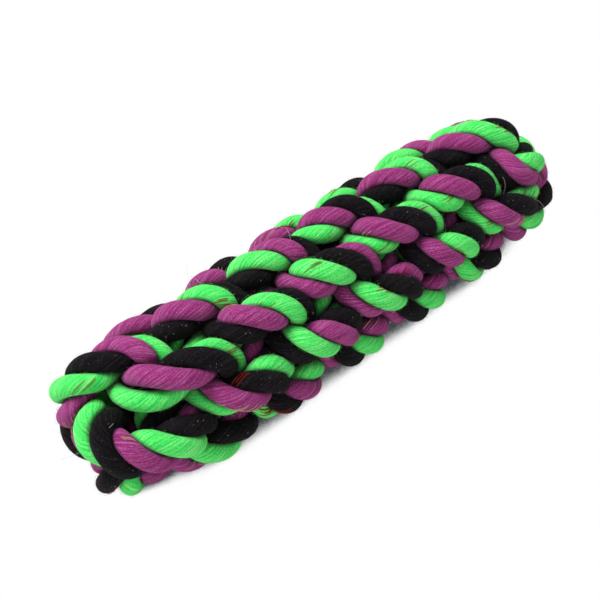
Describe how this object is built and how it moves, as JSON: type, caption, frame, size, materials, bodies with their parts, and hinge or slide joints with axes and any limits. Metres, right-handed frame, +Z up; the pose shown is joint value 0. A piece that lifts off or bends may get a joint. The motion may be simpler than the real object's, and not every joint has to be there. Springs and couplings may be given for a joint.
{
  "type": "rope dog toy",
  "caption": "Solid chew stick for a dog, crown-knotted layer on layer from laid cotton rope with green, purple and black strands, for tugging, fetching and chewing",
  "frame": {"origin": "middle of the bounding box's underside, on the plane the stick rests on", "axes": "+X along the stick from the near face, where the cut ends are tucked in, to the far face, where the ropes first cross; +Z up; the picture looks from -X, -Y and above"},
  "size_m": [0.2192, 0.0604, 0.0565],
  "materials": {
    "purple_cotton": "soft cotton yarn",
    "black_cotton": "soft cotton yarn",
    "green_cotton": "soft cotton yarn"
  },
  "bodies": {
    "root": {"rope_a_purple_strand": "purple_cotton", "rope_a_black_strand": "black_cotton", "rope_a_green_strand": "green_cotton", "rope_b_purple_strand": "purple_cotton", "rope_b_black_strand": "black_cotton", "rope_b_green_strand": "green_cotton"}
  },
  "joints": []
}
